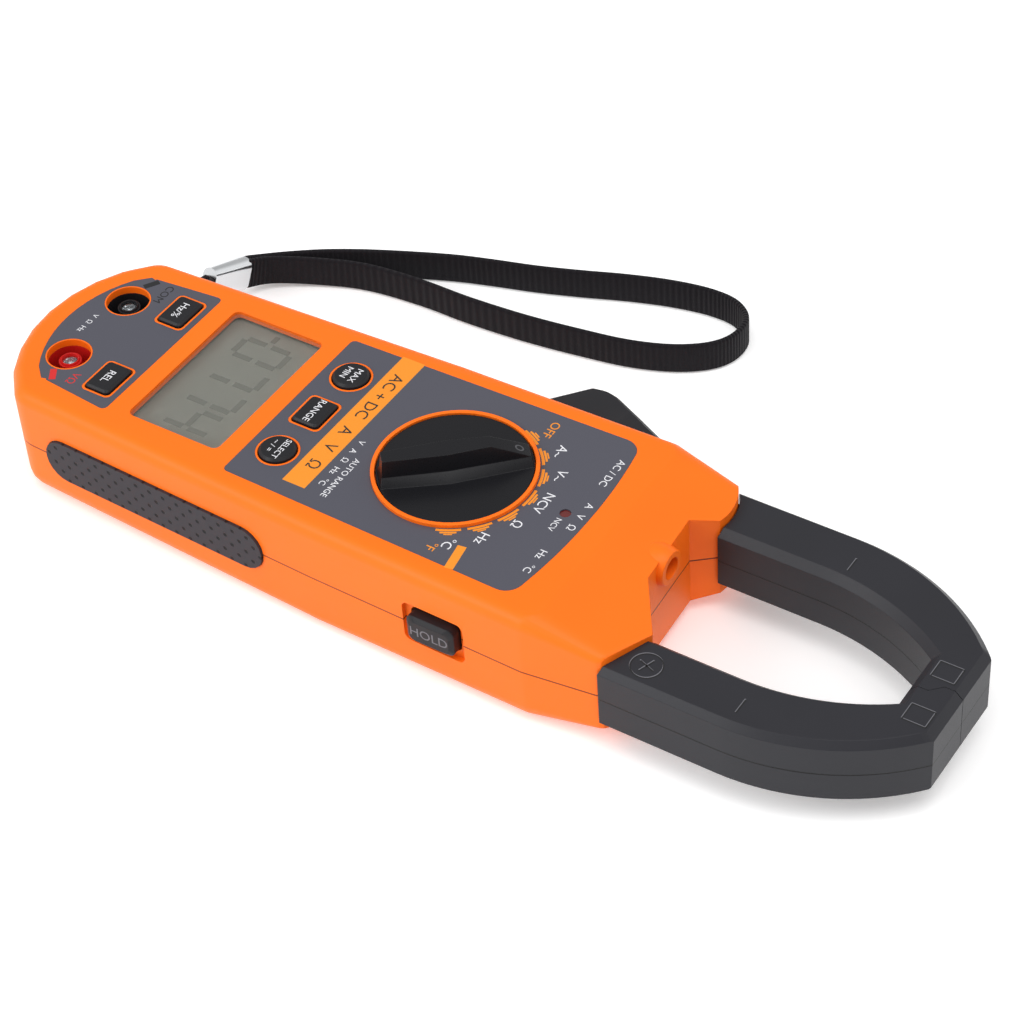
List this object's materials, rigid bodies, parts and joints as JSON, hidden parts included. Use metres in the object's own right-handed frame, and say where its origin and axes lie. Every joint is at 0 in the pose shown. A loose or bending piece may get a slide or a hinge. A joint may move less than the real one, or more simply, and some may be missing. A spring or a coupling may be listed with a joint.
{
  "type": "clamp meter",
  "caption": "Hand-held clamp meter with an opening current jaw, rotary range knob, display, press keys, shrouded 4 mm jacks, rubber side grips and a wrist strap.",
  "frame": {"origin": "on the rest plane of the flat back, straight below the dial's axis", "axes": "+Z out of the face along the dial's axis, +Y towards the jaws, +X to the meter's right (the hold key's side)"},
  "size_m": [0.1665, 0.286, 0.0445],
  "materials": {
    "case": "satin",
    "panel": "matt",
    "window": "gloss",
    "lcd": "gloss",
    "white_plastic": "matt",
    "board": "satin",
    "grip": "matt",
    "black_plastic": "satin",
    "red_plastic": "satin",
    "brass": "satin",
    "lens": "gloss",
    "knob": "satin",
    "key": "matt",
    "core": "matt",
    "jaw": "satin",
    "steel": "satin",
    "chrome": "polished",
    "battery": "satin",
    "strap": "matt"
  },
  "bodies": {
    "case": {"front_case": "case", "rear_case": "case", "battery_door": "case", "door_screw": "steel", "case_screws": "steel", "main_overlay": "panel", "lower_overlay": "panel", "lcd_window": "window", "lcd_glass": "lcd", "lcd_backlight": "white_plastic", "main_board": "board", "left_grip": "grip", "right_grip": "grip", "com_jack": "black_plastic", "input_jack": "red_plastic", "com_contact": "brass", "input_contact": "brass", "ncv_led": "lens", "torch_led": "lens", "tact_switches": "black_plastic", "hold_switch": "black_plastic", "fixed_jaw_front": "jaw", "fixed_jaw_back": "jaw", "fixed_core": "core", "hall_sensor": "board", "hinge_pin": "steel", "jaw_spring": "steel", "buzzer": "black_plastic", "battery": "battery", "battery_snap": "black_plastic", "loop_cord": "strap", "strap_ferrule": "chrome", "wrist_strap": "strap"},
    "dial": {"switch_wipers": "brass", "switch_rotor": "white_plastic", "dial_knob": "knob"},
    "moving_jaw": {"moving_jaw_front": "jaw", "moving_jaw_back": "jaw", "moving_core": "core", "jaw_lever": "jaw"},
    "select": {"select_key": "key"},
    "range": {"range_key": "key"},
    "max_min": {"max_min_key": "key"},
    "relative": {"relative_key": "key"},
    "hertz": {"hertz_key": "key"},
    "hold": {"hold_key": "key"}
  },
  "joints": [
    {"name": "jaw_open", "type": "hinge", "parent": "case", "child": "moving_jaw", "pos_m": [-0.026, 0.051, 0.01825], "axis": [0, 0, 1], "range_deg": [0, 22], "stiffness_Nm_per_rad": 0.4, "springref_deg": -14.32, "deforming": ["jaw_spring"]},
    {"name": "dial_turn", "type": "hinge", "parent": "case", "child": "dial", "pos_m": [0, 0, 0.036], "axis": [0, 0, 1], "range_deg": [-102.5, 20.5]},
    {"name": "select_press", "type": "slide", "parent": "case", "child": "select", "axis": [0, 0, -1], "range_m": [0, 0.0008], "stiffness_N_per_m": 300, "springref_m": -0.0008},
    {"name": "range_press", "type": "slide", "parent": "case", "child": "range", "axis": [0, 0, -1], "range_m": [0, 0.0008], "stiffness_N_per_m": 300, "springref_m": -0.0008},
    {"name": "max_min_press", "type": "slide", "parent": "case", "child": "max_min", "axis": [0, 0, -1], "range_m": [0, 0.0008], "stiffness_N_per_m": 300, "springref_m": -0.0008},
    {"name": "relative_press", "type": "slide", "parent": "case", "child": "relative", "axis": [0, 0, -1], "range_m": [0, 0.0008], "stiffness_N_per_m": 300, "springref_m": -0.0008},
    {"name": "hertz_press", "type": "slide", "parent": "case", "child": "hertz", "axis": [0, 0, -1], "range_m": [0, 0.0008], "stiffness_N_per_m": 300, "springref_m": -0.0008},
    {"name": "hold_press", "type": "slide", "parent": "case", "child": "hold", "axis": [-1, 0, 0], "range_m": [0, 0.001], "stiffness_N_per_m": 300, "springref_m": -0.0008}
  ]
}
